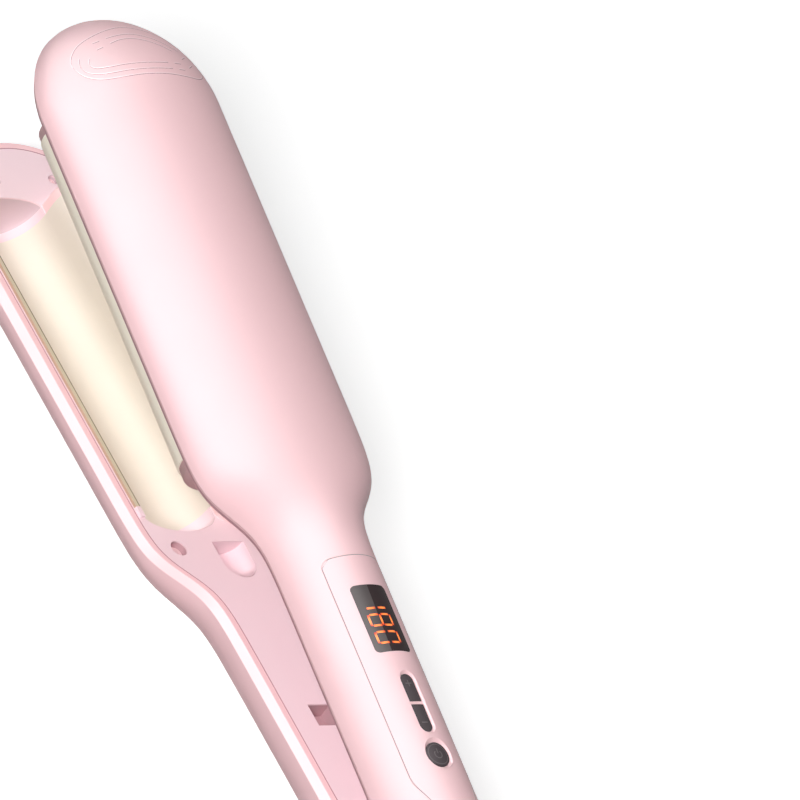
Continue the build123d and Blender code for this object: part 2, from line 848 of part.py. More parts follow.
# ---- Display ----------------------------------------------------------------------------------
SEGMENTS = {"1": "bc", "8": "abcdefg", "0": "abcdef"}


def digit_segments(name):
    """Centres and sizes of a digit's lit segments, x across the digit and y up it."""
    half_width = (digit_width - segment_width) / 2
    half_height = (digit_height - segment_width) / 2
    across = digit_width - segment_width
    along = half_height - segment_width - 2 * segment_gap
    places = {
        "a": (0, half_height, across, segment_width),
        "b": (half_width, half_height / 2, segment_width, along),
        "c": (half_width, -half_height / 2, segment_width, along),
        "d": (0, -half_height, across, segment_width),
        "e": (-half_width, -half_height / 2, segment_width, along),
        "f": (-half_width, half_height / 2, segment_width, along),
        "g": (0, 0, across, segment_width),
    }
    return [places[letter] for letter in SEGMENTS[name]]


with BuildSketch() as reading:
    for place, name in enumerate("180"):
        middle = digit_middle_x + digit_pitch * (1 - place)
        for across, up, width, height in digit_segments(name):
            with Locations((middle - across, digit_middle_y - up)):
                Rectangle(width, height)
digits = skin(reading.sketch)
write(opened_upper(digits), "display_digits")

window = joined(
    (skin(window_sketch(0)),), (column(reading.sketch, 0, 2 * upper_handle_crown),)
)
write(opened_upper(window), "display_window")

module_half_width = display_width / 2 - module_inset
module_half_length = display_length / 2 - module_inset
module_top = crown_height(module_half_width, panel_thickness) - module_seat_gap
module_low = display_x - module_half_length
module_high = display_x + module_half_length
module = block(module_low, module_high, -module_half_width, module_half_width, board_top, module_top)
write(opened_upper(module), "display_module")

# ---- Control board ----------------------------------------------------------------------------
with BuildPart() as board:
    with BuildSketch(Plane.XY.offset(board_height)) as board_plan:
        with Locations(((board_start + board_end) / 2, 0)):
            Rectangle(board_end - board_start, 2 * board_half_width)
        with Locations(*board_posts):
            Circle(board_screw_radius + thread_clearance, mode=Mode.SUBTRACT)
    extrude(amount=board_thickness)
write(opened_upper(board.part), "control_board")

with BuildPart() as board_screw_set:
    with BuildSketch(Plane.XY.offset(board_top)) as heads:
        with Locations(*board_posts):
            Circle(board_head_radius)
    extrude(amount=board_head_height)
    with BuildSketch(Plane.XY.offset(board_top - board_screw_length)) as shanks:
        with Locations(*board_posts):
            Circle(board_screw_radius)
    extrude(amount=board_screw_length)
write(opened_upper(board_screw_set.part), "board_screws")

switch_places = [(plus_x, 0), (minus_x, 0), (power_x, 0)]
switch_top = board_top + switch_height
plunger_top = switch_top + plunger_height
with BuildPart() as switches:
    with BuildSketch(Plane.XY.offset(board_top)) as bodies:
        with Locations(*switch_places):
            Rectangle(switch_side, switch_side)
    extrude(amount=switch_height)
    with BuildSketch(Plane.XY.offset(switch_top)) as plungers:
        with Locations(*switch_places):
            Circle(plunger_radius)
    extrude(amount=plunger_height)
write(opened_upper(switches.part), "key_switches")


# ---- Buttons ----------------------------------------------------------------------------------
def button(plan, flange_plan, half_width, sink, x):
    """Push button: cap following the casing, retaining flange under the panel and stem."""
    flange_top = crown_height(half_width, panel_thickness) - key_flange_gap
    flange_bottom = flange_top - key_flange_thickness
    stem_bottom = plunger_top + key_travel + plunger_gap
    sunk_form = Pos(0, 0, -sink) * upper_form
    prism = column(plan, flange_top, 2 * upper_handle_crown)
    flange = column(flange_plan, flange_bottom, flange_top)
    stem = column(disc_sketch(x, key_stem_radius), stem_bottom, flange_bottom)
    with BuildPart() as cap:
        add(sunk_form)
        add(prism, mode=Mode.INTERSECT)
    return joined((cap.part, flange, stem))


for name, x in (("plus_button", plus_x), ("minus_button", minus_x)):
    half_width = key_width / 2 + key_clearance + key_flange
    with BuildSketch() as flange_plan:
        with Locations((x, 0)):
            Rectangle(key_length, 2 * half_width)
    write(opened_upper(button(key_sketch(x), flange_plan.sketch, half_width, key_sink, x)), name)

power_flange = power_radius + key_clearance + key_flange
write(
    opened_upper(
        button(
            disc_sketch(power_x, power_radius),
            disc_sketch(power_x, power_flange),
            power_flange,
            power_sink,
            power_x,
        )
    ),
    "power_button",
)

# ---- Upper shell ------------------------------------------------------------------------------
axis_z = -rim_gap / 2  # hinge axis in either arm frame
web_top = axis_z + knuckle_radius


def barrel_across(radius, half_width):
    """Solid cylinder about the hinge axis, drawn in the arm frame."""
    with BuildPart() as barrel:
        with BuildSketch(Plane.XZ.offset(-half_width)) as disc:
            with Locations((0, axis_z)):
                Circle(radius)
        extrude(amount=2 * half_width)
    return barrel.part


pin_bore = barrel_across(pin_radius + pin_running_clearance, cheek_half_width)
web_wall = upper_end + upper_wall
rib_bottom = cover_thickness + web_rib_clearance
web = block(0, web_wall, -knuckle_half_width, knuckle_half_width, 0, web_top)
rib = block(
    upper_end, web_wall + web_rib_length, -knuckle_half_width, knuckle_half_width, rib_bottom, web_top
)
knuckle = barrel_across(knuckle_radius, knuckle_half_width)
ledge_window = column(panel_outline(-panel_ledge), board_top, 2 * upper_handle_crown)
hollow_upper = joined((upper_form,), (upper_cavity,))
upper_shell = joined(
    (hollow_upper, screw_bosses(upper_form), web, rib, knuckle),
    (pilot_holes(), ledge_window, skin(panel_outline(panel_clearance))),
)
stop_bottom = lower_depth + stop_clearance
stop = block(
    -stop_length, 0, -stop_half_width, stop_half_width, stop_bottom, stop_bottom + stop_thickness
)
write(joined((opened_upper(upper_shell), stop), (opened_upper(pin_bore),)), "upper_shell")

# ---- Lower shell ------------------------------------------------------------------------------
cheek_inner = knuckle_half_width + cheek_clearance
swivel_hole = swivel_neck_radius + swivel_clearance
tail_back = tail_start - tail_length

cheek_barrel = barrel_across(knuckle_radius, cheek_half_width)
cheek_foot = block(
    -knuckle_radius, knuckle_radius, -cheek_half_width, cheek_half_width, axis_z, lower_crown
)
between_cheeks = block(
    -2 * knuckle_radius,
    2 * knuckle_radius,
    -cheek_inner,
    cheek_inner,
    -2 * knuckle_radius,
    2 * lower_depth,
)
cheeks = joined((cheek_barrel, cheek_foot), (between_cheeks,))


def below(depth):
    """Everything deeper in the lower arm than a level plane."""
    return block(
        2 * tail_back, 2 * head_end, -2 * head_half_width, 2 * head_half_width, depth, 2 * lower_depth
    )


swivel_bore = rod((tail_back + lower_cavity_end) / 2, 0, swivel_drop, swivel_hole, 2 * tail_length)
flange_room_length = swivel_flange_thickness + 2 * swivel_clearance
flange_room_middle = lower_cavity_end + flange_room_length / 2
flange_room_radius = swivel_flange_radius + swivel_clearance
flange_room = rod(flange_room_middle, 0, swivel_drop, flange_room_radius, flange_room_length)
lower_hollow = joined((lower_cavity,), (below(lower_depth - belly_floor),))
hollow_lower = joined((lower_body, lower_tail), (lower_hollow, flange_room))
lower_shell = joined(
    (hollow_lower, screw_bosses(lower_body), cheeks),
    (
        pilot_holes(),
        barrel_across(pin_radius, 2 * cheek_half_width),
        swivel_bore,
        below(lower_depth),
    ),
)
write(closed_lower(lower_shell), "lower_shell")

# ---- Hinge pin, opening spring and cord swivel ------------------------------------------------
write(
    closed_lower(barrel_across(pin_radius, cheek_half_width - pin_end_inset)),
    "hinge_pin",
)

spring_foot = lower_depth - spring_cup_depth
coil_rise = spring_rest_length - 2 * spring_wire_radius
spring_middle_x = spring_x - spring_lean
with BuildPart() as spring:
    with BuildLine() as coil:
        Helix(coil_rise / spring_turns, coil_rise, spring_radius)
    with BuildSketch(Plane(coil.line @ 0, z_dir=coil.line % 0)):
        Circle(spring_wire_radius)
    sweep(is_frenet=True)
write(
    Pos(spring_middle_x, 0, spring_foot + spring_wire_radius) * spring.part,
    "opening_spring",
)

swivel_z = lower_depth - swivel_drop
with BuildPart() as swivel:
    with BuildSketch(Plane.XZ) as half_profile:
        flange_face = lower_cavity_end + swivel_clearance
        nose_start = tail_back - swivel_clearance
        with BuildLine():
            Polyline(
                (flange_face + swivel_flange_thickness, swivel_z + cord_bore_radius),
                (flange_face + swivel_flange_thickness, swivel_z + swivel_flange_radius),
                (flange_face, swivel_z + swivel_flange_radius),
                (flange_face, swivel_z + swivel_neck_radius),
                (nose_start, swivel_z + swivel_neck_radius),
                (nose_start - swivel_nose_length, swivel_z + swivel_nose_end_radius),
                (nose_start - swivel_nose_length, swivel_z + cord_bore_radius),
                (flange_face + swivel_flange_thickness, swivel_z + cord_bore_radius),
            )
        make_face()
    revolve(axis=Axis((0, 0, swivel_z), (1, 0, 0)))
write(swivel.part, "cord_swivel")
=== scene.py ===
"""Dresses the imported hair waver: camera, studio, finishes and the fine pieces beyond its solids."""

import logging
import math
from dataclasses import dataclass
from enum import Enum

import bmesh
import bpy
from mathutils import Matrix, Vector


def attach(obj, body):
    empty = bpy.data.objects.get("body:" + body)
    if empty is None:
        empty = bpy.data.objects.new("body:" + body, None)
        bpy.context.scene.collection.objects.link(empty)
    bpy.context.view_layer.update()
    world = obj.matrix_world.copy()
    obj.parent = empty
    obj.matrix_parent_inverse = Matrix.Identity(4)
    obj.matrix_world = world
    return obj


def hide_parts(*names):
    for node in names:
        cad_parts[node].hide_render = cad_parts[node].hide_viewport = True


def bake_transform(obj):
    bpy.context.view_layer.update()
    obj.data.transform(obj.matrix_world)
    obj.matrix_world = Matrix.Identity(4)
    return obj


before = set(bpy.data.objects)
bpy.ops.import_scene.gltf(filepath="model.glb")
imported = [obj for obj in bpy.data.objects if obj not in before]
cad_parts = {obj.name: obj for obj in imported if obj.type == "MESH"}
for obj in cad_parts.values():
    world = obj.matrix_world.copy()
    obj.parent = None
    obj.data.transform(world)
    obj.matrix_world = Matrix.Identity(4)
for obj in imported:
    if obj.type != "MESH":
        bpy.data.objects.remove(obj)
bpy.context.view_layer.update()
LOG = logging.getLogger("hair_waver")
MM = 0.001
DRIFT_SCALE = 35.0  # cells of slow colour drift to the metre
PATCH_SCALE = 120.0  # cells of uneven gloss to the metre
PATCH_SHARE = 0.2  # a patch changes the roughness by up to half this share
SHADE_DEPTH = 4  # the deepest drift is this many times the finish's drift under its colour
FINE_DETAIL = 3.0
WHITE = (1.0, 1.0, 1.0, 1.0)
MIX_COLORS = (6, 7)  # the two colour inputs of a Mix node
MIX_RESULT = 2  # its colour output

Number = float | int
Colour = tuple[int, int, int]
Plan = tuple[tuple[float, float], ...]


class Body(Enum):
    """The rigid bodies that the added pieces follow."""

    LOWER_ARM = "lower_arm"
    UPPER_ARM = "upper_arm"


def linear(red: int, green: int, blue: int) -> tuple[float, float, float, float]:
    """Turns a colour written as three screen values into a linear colour.

    Args:
        red: Red from 0 to 255.
        green: Green from 0 to 255.
        blue: Blue from 0 to 255.

    Returns:
        The linear colour with an alpha of 1.
    """
    parts = []
    for value in (red, green, blue):
        share = value / 255
        parts.append(share / 12.92 if share <= 0.04045 else ((share + 0.055) / 1.055) ** 2.4)
    return (parts[0], parts[1], parts[2], 1.0)


@dataclass(frozen=True)
class Opening:
    """How the upper arm stands open at rest: its angle, and its hinge's and rim's heights in millimetres."""

    angle: float = math.radians(8)
    hinge_z: float = 19.05
    rim_z: float = 21.1

    def row_point(self, x: float, y: float, z: float) -> Vector:
        """Turns a place in the arm's own frame, with its rim at 0, into the row frame at rest.

        Args:
            x: Along the arm from the hinge, in millimetres.
            y: Across the arm, in millimetres.
            z: Height over the rim, in millimetres.

        Returns:
            The place in metres.
        """
        rise = z + self.rim_z - self.hinge_z
        along = x * math.cos(self.angle) - rise * math.sin(self.angle)
        height = x * math.sin(self.angle) + rise * math.cos(self.angle)
        return Vector((along, y, height + self.hinge_z)) * MM

    def row_turn(self, direction: Vector) -> Vector:
        """Turns a direction of the arm's own frame into the row frame."""
        return Matrix.Rotation(-self.angle, 3, "Y") @ direction


OPENING = Opening()


class Signal:
    """An output socket that takes part in Python arithmetic and adds Math nodes as it goes."""

    def __init__(self, owner: "NodeTree", socket: bpy.types.NodeSocket) -> None:
        """Keeps the socket and the node tree that it belongs to."""
        self.owner = owner
        self.socket = socket

    def _math(self, operation: str, first: "Signal | Number", second: "Signal | Number") -> "Signal":
        """Adds one Math node on two values.

        Args:
            operation: The Math node's operation.
            first: Upper value.
            second: Lower value.

        Returns:
            The result's socket, wrapped.
        """
        return self.owner.node("ShaderNodeMath", {"operation": operation}, {0: first, 1: second})

    def __add__(self, other: "Signal | Number") -> "Signal":
        """Adds."""
        return self._math("ADD", self, other)

    def __radd__(self, other: Number) -> "Signal":
        """Adds, with the number on the left."""
        return self._math("ADD", other, self)

    def __sub__(self, other: "Signal | Number") -> "Signal":
        """Subtracts."""
        return self._math("SUBTRACT", self, other)

    def __rsub__(self, other: Number) -> "Signal":
        """Subtracts from the number on the left."""
        return self._math("SUBTRACT", other, self)

    def __mul__(self, other: "Signal | Number") -> "Signal":
        """Multiplies."""
        return self._math("MULTIPLY", self, other)

    def __rmul__(self, other: Number) -> "Signal":
        """Multiplies, with the number on the left."""
        return self._math("MULTIPLY", other, self)

    def __pow__(self, other: Number) -> "Signal":
        """Raises to a power."""
        return self._math("POWER", self, other)

    def __gt__(self, other: Number) -> "Signal":
        """1 where the value is above the number, else 0."""
        return self._math("GREATER_THAN", self, other)

    def __lt__(self, other: Number) -> "Signal":
        """1 where the value is below the number, else 0."""
        return self._math("LESS_THAN", self, other)

    def __abs__(self) -> "Signal":
        """Drops the sign."""
        return self._math("ABSOLUTE", self, 0.0)

    def nearest(self, step: Number) -> "Signal":
        """Distance to the nearest multiple of a step."""
        return self._math("PINGPONG", self, step / 2)

    def both(self, other: "Signal | Number") -> "Signal":
        """The smaller of two masks, which is where both hold."""
        return self._math("MINIMUM", self, other)

    def either(self, other: "Signal | Number") -> "Signal":
        """The larger of two masks, which is where one or the other holds."""
        return self._math("MAXIMUM", self, other)

    def smooth(self, low: Number, high: Number) -> "Signal":
        """0 below low, 1 above high, and a soft step between them.

        Args:
            low: Where the step starts.
            high: Where the step ends.

        Returns:
            The step's socket, wrapped.
        """
        return self.owner.node(
            "ShaderNodeMapRange",
            {"interpolation_type": "SMOOTHSTEP"},
            {"Value": self, "From Min": low, "From Max": high},
        )


class NodeTree:
    """One node tree and the single method that adds nodes to it."""

    def __init__(self, tree: bpy.types.NodeTree) -> None:
        """Empties the tree."""
        self.tree = tree
        self.tree.nodes.clear()

    def put(self, target: bpy.types.NodeSocket, value: object) -> None:
        """Links or sets one input socket."""
        if isinstance(value, Signal):
            self.tree.links.new(value.socket, target)
        else:
            target.default_value = value

    def make(self, kind: str, settings: dict, values: dict) -> bpy.types.Node:
        """Adds one node; every node of every tree is made here.

        Args:
            kind: The node's type.
            settings: Properties set before any socket.
            values: Input sockets by name or number, as numbers, colours or links.

        Returns:
            The node.
        """
        made = self.tree.nodes.new(kind)
        for key, value in settings.items():
            setattr(made, key, value)
        for key, value in values.items():
            self.put(made.inputs[key], value)
        return made

    def node(self, kind: str, settings: dict, values: dict, output: int | str = 0) -> Signal:
        """Adds one node and picks one of its outputs.

        Args:
            kind: The node's type.
            settings: Properties set before any socket.
            values: Input sockets by name or number, as numbers, colours or links.
            output: Which output to return.

        Returns:
            The output socket, wrapped.
        """
        return Signal(self, self.make(kind, settings, values).outputs[output])

    def seen(self) -> Signal:
        """1 where the camera sees a surface itself, mirrored or through glass, else 0."""
        camera, glossy, through = (
            self.node("ShaderNodeLightPath", {}, {}, f"Is {ray} Ray")
            for ray in ("Camera", "Glossy", "Transmission")
        )
        return camera.either(glossy).either(through)


class Paint(NodeTree):
    """One procedural material."""

    def __init__(self, name: str) -> None:
        """Starts the material with its output and Principled shader."""
        self.material = bpy.data.materials.new(name)
        self.material.use_nodes = True
        super().__init__(self.material.node_tree)
        self.shader = self.make("ShaderNodeBsdfPrincipled", {}, {})
        surface = Signal(self, self.shader.outputs["BSDF"])
        self.output = self.make("ShaderNodeOutputMaterial", {}, {"Surface": surface})

    def place(self) -> Signal:
        """Position in the row frame at rest, in metres."""
        return self.node("ShaderNodeTexCoord", {}, {}, "Object")

    def axis(self, name: str) -> Signal:
        """One axis of the position, in millimetres."""
        split = self.node("ShaderNodeSeparateXYZ", {}, {"Vector": self.place()}, name)
        return split * (1 / MM)

    def arm_place(self) -> tuple[Signal, Signal, Signal]:
        """Position in the upper arm's own frame, in millimetres.

        Returns:
            The distance from the hinge, the place across the arm and the height over the rim.
        """
        turn = (math.cos(OPENING.angle), math.sin(OPENING.angle))
        along = self.axis("X")
        rise = self.axis("Z") - OPENING.hinge_z
        far = along * turn[0] + rise * turn[1]
        high = rise * turn[0] - along * turn[1] + (OPENING.hinge_z - OPENING.rim_z)
        return far, self.axis("Y"), high

    def noise(self, scale: float, detail: float = 2.0) -> Signal:
        """Smooth noise.

        Args:
            scale: Cells to the metre.
            detail: How many finer layers it has.

        Returns:
            The noise from 0 to 1.
        """
        return self.node(
            "ShaderNodeTexNoise", {}, {"Vector": self.place(), "Scale": scale, "Detail": detail}
        )

    def blend(self, share: "Signal | Number", first: object, second: object) -> Signal:
        """Mixes two colours.

        Args:
            share: 0 gives the first colour, 1 the second.
            first: A colour or link.
            second: A colour or link.

        Returns:
            The mixed colour.
        """
        colors = {"Factor": share, MIX_COLORS[0]: first, MIX_COLORS[1]: second}
        return self.node("ShaderNodeMix", {"data_type": "RGBA"}, colors, MIX_RESULT)

    def bump(self, height: Signal, distance: float) -> None:
        """Feeds a bump of a height in metres to the shader's normal."""
        normal = self.node("ShaderNodeBump", {}, {"Strength": 1.0, "Distance": distance, "Height": height})
        self.put(self.shader.inputs["Normal"], normal)

    def set(self, **values: object) -> None:
        """Sets the shader's sockets by name, with _ for a space."""
        for key, value in values.items():
            self.put(self.shader.inputs[key.replace("_", " ")], value)


@dataclass(frozen=True)
class Finish:
    """A moulded or machined surface with fine grain, faint colour drift and uneven gloss.

    Grain scale is in cells to the metre and grain depth in metres.
    """

    name: str
    color: Colour
    roughness: float
    drift: float = 0.02
    grain_scale: float = 1400.0
    grain_depth: float = 0.00002
    coat: float = 0.0
    coat_roughness: float = 0.1
    metallic: float = 0.0
    specular: float = 0.5

    def tint(self, paint: Paint) -> Signal:
        """Base colour with slow drift over the surface."""
        base = linear(*self.color)
        shade = tuple(part * (1 - SHADE_DEPTH * self.drift) for part in base[:3]) + (1.0,)
        return paint.blend(paint.noise(DRIFT_SCALE, FINE_DETAIL), shade, base)

    def finish(self, paint: Paint) -> None:
        """Adds what one kind of finish has beyond the rest."""

    def build(self) -> bpy.types.Material:
        """Builds the material.

        Returns:
            The finished material.
        """
        paint = Paint(self.name)
        patches = paint.noise(PATCH_SCALE)
        paint.set(
            Base_Color=self.tint(paint),
            Roughness=self.roughness + (patches - 0.5) * (PATCH_SHARE * self.roughness),
            Metallic=self.metallic,
            Coat_Weight=self.coat,
            Coat_Roughness=self.coat_roughness,
            Specular_IOR_Level=self.specular,
        )
        paint.bump(paint.noise(self.grain_scale, FINE_DETAIL), self.grain_depth)
        self.finish(paint)
        return paint.material


PEARL_LOOK = {
    "color": (244, 203, 207),
    "roughness": 0.52,
    "drift": 0.004,
    "grain_depth": 0.000004,
    "specular": 0.1,
}
PEARL = Finish("casing_pearl_pink", **PEARL_LOOK)


@dataclass(frozen=True)
class RimmedFinish(Finish):
    """The casing's finish with painted shade, a darker mauve line, along the foot of the rim's bevel."""

    # colour of the painted shade along the bevel's foot
    line: Colour = (196, 148, 156)
    painted_shade_top: float = 1.5  # over the rim, where the painted shade ends
    fade: float = 0.5

    def tint(self, paint: Paint) -> Signal:
        """Base colour with the painted shade worked in."""
        _, _, height = paint.arm_place()
        painted_shade_mask = 1 - height.smooth(self.painted_shade_top - self.fade, self.painted_shade_top)
        return paint.blend(painted_shade_mask, Finish.tint(self, paint), linear(*self.line))


@dataclass(frozen=True)
class BevelledFinish(Finish):
    """The casing's finish with a painted highlight, paler, on the bevel that runs around the lower arm's
    rim.
    """

    rim_z: float = 17.0
    bevel_height: float = 2.4
    foot_fade: float = 0.1
    edge: tuple[float, float] = (0.08, 0.03)  # under the rim, where the painted highlight ends
    # colour of the painted highlight on the bevel
    painted_light: Colour = (247, 216, 219)

    def tint(self, paint: Paint) -> Signal:
        """Base colour with the painted highlight on the bevel."""
        height = paint.axis("Z")
        foot = self.rim_z - self.bevel_height
        above_foot = height.smooth(foot - self.foot_fade, foot + self.foot_fade)
        below_rim = 1 - height.smooth(self.rim_z - self.edge[0], self.rim_z - self.edge[1])
        return paint.blend(above_foot.both(below_rim), Finish.tint(self, paint), linear(*self.painted_light))


LOWER_PEARL = BevelledFinish("casing_pearl_bevelled", **PEARL_LOOK)
UPPER_PEARL = RimmedFinish("casing_pearl_rimmed", **PEARL_LOOK)
COVER_LOOK = {
    "color": (238, 211, 217),
    "roughness": 0.6,
    "drift": 0.006,
    "grain_depth": 0.00001,
    "specular": 0.13,
}
COVER = Finish("cover_matte_pink", **COVER_LOOK)


@dataclass(frozen=True)
class HollowedFinish(Finish):
    """The cover's pink, with painted shade in its pocket, its screw wells and the bowl at the tip."""

    face_z: float = 17.0
    lip: tuple[float, float] = (0.7, 0.2)  # under the face, where the painted shade is full and where it starts
    pocket: tuple[float, float] = (80.0, 93.0)
    wells_x: tuple[float, float] = (138.0, 148.0)
    wells_y: float = 13.0
    bowl_x: float = 262.9
    # colour of the painted shade in the pocket and the wells
    shade: Colour = (190, 152, 158)
    # colour of the painted shade in the bowl
    bowl_shade: Colour = (202, 178, 185)

    def tint(self, paint: Paint) -> Signal:
        """Base colour with painted shade in the deep places."""
        along, side, height = (paint.axis(name) for name in "XYZ")
        deep = 1 - height.smooth(self.face_z - self.lip[0], self.face_z - self.lip[1])
        pocket = (along > self.pocket[0]).both(along < self.pocket[1])
        wells = (along > self.wells_x[0]).both(along < self.wells_x[1]).both(abs(side) > self.wells_y)
        hollow = paint.blend(
            deep.both(pocket.either(wells)), Finish.tint(self, paint), linear(*self.shade)
        )
        return paint.blend(deep.both(along > self.bowl_x), hollow, linear(*self.bowl_shade))


HOLLOWED_COVER = HollowedFinish("cover_pink_hollowed", **COVER_LOOK)
CREAM_LOOK = {
    "color": (227, 217, 204),
    "roughness": 0.5,
    "drift": 0.006,
    "grain_depth": 0.000008,
    "specular": 0.07,
}
CREAM = Finish("plate_cream", **CREAM_LOOK)
# the plate's cream made paler on the upper barrel: painted light on a strip that lies in shade
BARREL_CREAM_PAINTED_LIGHT = Finish(
    "barrel_cream_painted_light", (255, 248, 230), 0.5, drift=0.006, grain_depth=0.000008, specular=0.15
)


@dataclass(frozen=True)
class RailedFinish(Finish):
    """The plate's cream, darker towards the rail with painted shade, a painted shadow line along the rail's
    inner side and a fine dark line along its outer side.
    """

    middle: float = 11.0
    rail_in: float = 23.7
    inner_fade: tuple[float, float] = (0.16, 0.34)
    rail_out: float = 25.2
    outer_fade: tuple[float, float] = (0.1, 0.24)
    # colour of the painted shadow line on the rail's inner side
    line: Colour = (120, 108, 86)
    edge: Colour = (190, 152, 128)
    # colour of the painted shade towards the rail
    deep: Colour = (204, 191, 168)

    def tint(self, paint: Paint) -> Signal:
        """Base colour with the painted shade towards the rail, the painted shadow line and the dark outer
        line.
        """
        side = paint.axis("Y")
        # painted shade grows from the middle of the plate towards the rail
        deep = side.smooth(self.middle, self.rail_in)
        body = paint.blend(deep, Finish.tint(self, paint), linear(*self.deep))
        # mask of the painted shadow line on the rail's inner side
        inner = 1 - abs(side - self.rail_in).smooth(*self.inner_fade)
        outer = 1 - abs(side - self.rail_out).smooth(*self.outer_fade)
        lined = paint.blend(inner, body, linear(*self.line))
        return paint.blend(outer, lined, linear(*self.edge))


RAILED_CREAM = RailedFinish("plate_cream_railed", **CREAM_LOOK)
RING = Finish("ring_pale_pink", (244, 208, 208), 0.4, drift=0.006, specular=0.16)
# the ring's pink darkened to mauve on the upper barrel's end caps: painted shade
BARREL_CAP_PAINTED_SHADE = Finish("barrel_cap_painted_shade", (186, 150, 151), 0.45, drift=0.006, specular=0.2)
HEATER = Finish("heater_ceramic", (225, 222, 214), 0.6)
ALUMINIUM = Finish("bare_aluminium", (205, 206, 210), 0.35, metallic=1.0)
CARRIER = Finish("carrier_plastic", (48, 46, 47), 0.5)
SENSOR = Finish("sensor_glass", (150, 88, 40), 0.15, coat=0.5)
STEEL = Finish("screw_steel", (190, 188, 190), 0.28, metallic=1.0)
PAINTED_SCREW = Finish("screw_painted_pink", (232, 196, 200), 0.42, drift=0.01, specular=0.2)
# pale beads beside the grip lines: painted highlight
GRIP_PAINTED_HIGHLIGHT = Finish("grip_painted_highlight_pink", (255, 232, 235), 0.5, drift=0.01)
# dark beads of the grip lines: painted shade
GRIP_PAINTED_SHADE = Finish("grip_painted_shade_mauve", (160, 104, 114), 0.6, drift=0.01, specular=0.05)
COVER_LINE = Finish("cover_line_mauve", (186, 134, 142), 0.6, drift=0.01, specular=0.07)
SEAM_LINE = Finish("seam_line_grey", (158, 152, 153), 0.7, drift=0.01, specular=0.04)
BOARD = Finish("board_green", (24, 92, 58), 0.4, drift=0.02)
SWITCH = Finish("switch_black", (40, 38, 38), 0.5)
SWIVEL = Finish("swivel_pink", (226, 186, 192), 0.45)


@dataclass(frozen=True)
class SmokedFinish(Finish):
    """Dark display glass with a painted reflection on one half, split from the dark half by a slanting line
    along the arm.
    """

    # colour of the painted reflection
    painted_light: Colour = (98, 92, 92)
    split_x: float = 104.3
    split_y: float = 0.66
    split_slope: float = -0.0414
    split_blur: float = 0.05
    fade_x: tuple[float, float] = (78.3, 106.3)  # the painted reflection fades towards the tip
    fade_share: float = 0.35

    def tint(self, paint: Paint) -> Signal:
        """Base colour of the dark half and of the half with the painted reflection."""
        far, across, _ = paint.arm_place()
        side = across - self.split_y - (far - self.split_x) * self.split_slope
        fade = 1 - far.smooth(*self.fade_x) * self.fade_share
        share = side.smooth(-self.split_blur, self.split_blur) * fade
        return paint.blend(share, Finish.tint(self, paint), linear(*self.painted_light))


class Sign(Enum):
    """What is printed on a key."""

    PLUS = "plus"
    MINUS = "minus"
    POWER = "power"


@dataclass(frozen=True)
class MarkedFinish(Finish):
    """Black key plastic with its sign printed in a slightly paler grey.

    The power sign is a ring open towards the tip with a stem in its gap, and a fine line around the key.
    Its places and lengths are shares of the ring's radius, which is the reach; the fine line's width is a
    share of the stroke.
    """

    sign: Sign = Sign.PLUS
    middle_x: float = 0.0
    middle_y: float = 0.0
    reach: float = 1.0
    stroke: float = 0.16
    rim_radius: float = 2.6
    rim_stroke: float = 0.6
    ring_gap: float = 0.75
    stem_middle: float = 0.85
    stem_reach: float = 0.65
    ink: Colour = (84, 76, 78)

    def bar(self, along: Signal, across: Signal, reach: float) -> Signal:
        """Mask of one straight stroke.

        Args:
            along: Distance along the stroke from its middle.
            across: Distance across the stroke from its middle.
            reach: Half the stroke's length.

        Returns:
            1 on the stroke, else 0.
        """
        return (abs(along) < reach).both(abs(across) < self.stroke)

    def mark(self, paint: Paint) -> Signal:
        """Mask of the sign."""
        far, side, _ = paint.arm_place()
        u = far - self.middle_x
        v = side - self.middle_y
        if self.sign is Sign.MINUS:
            return self.bar(v, u, self.reach)
        if self.sign is Sign.PLUS:
            return self.bar(v, u, self.reach).either(self.bar(u, v, self.reach))
        spread = (u * u + v * v) ** 0.5
        rim = abs(spread - self.rim_radius * self.reach) < self.stroke * self.rim_stroke
        ring = (abs(spread - self.reach) < self.stroke).both(1 - (u > self.reach * self.ring_gap))
        stem = self.bar(u - self.reach * self.stem_middle, v, self.reach * self.stem_reach)
        return rim.either(ring).either(stem)

    def tint(self, paint: Paint) -> Signal:
        """Base colour with the sign on it."""
        return paint.blend(self.mark(paint), Finish.tint(self, paint), linear(*self.ink))


@dataclass(frozen=True)
class LitFinish(Finish):
    """Lit bars of the digits: yellow-orange in the middle of each bar and red towards its ends."""

    middle: Colour = (246, 132, 60)
    tip: Colour = (190, 40, 24)
    glow: float = 0.6
    digit_x: float = 93.9
    digit_y: float = 0.6
    half_bar: float = 3.85
    bar: float = 3.9
    pitch: float = 5.3
    lead: int = 4  # whole steps added, so that every distance is above 0
    fade: tuple[float, float] = (0.25, 1.6)

    def heat(self, paint: Paint) -> Signal:
        """0 at the corners of a digit and 1 in the middle of a bar."""
        far, side, _ = paint.arm_place()
        u = abs((far - self.digit_x + self.lead * self.pitch).nearest(self.pitch) - self.bar / 2)
        v = (side - self.digit_y + self.lead * self.half_bar).nearest(self.half_bar)
        return ((u * u + v * v) ** 0.5).smooth(*self.fade)

    def tint(self, paint: Paint) -> Signal:
        """Base colour of the bars."""
        return paint.blend(self.heat(paint), linear(*self.tip), linear(*self.middle))

    def finish(self, paint: Paint) -> None:
        """Adds the light of the bars."""
        paint.set(Emission_Color=self.tint(paint), Emission_Strength=self.glow)


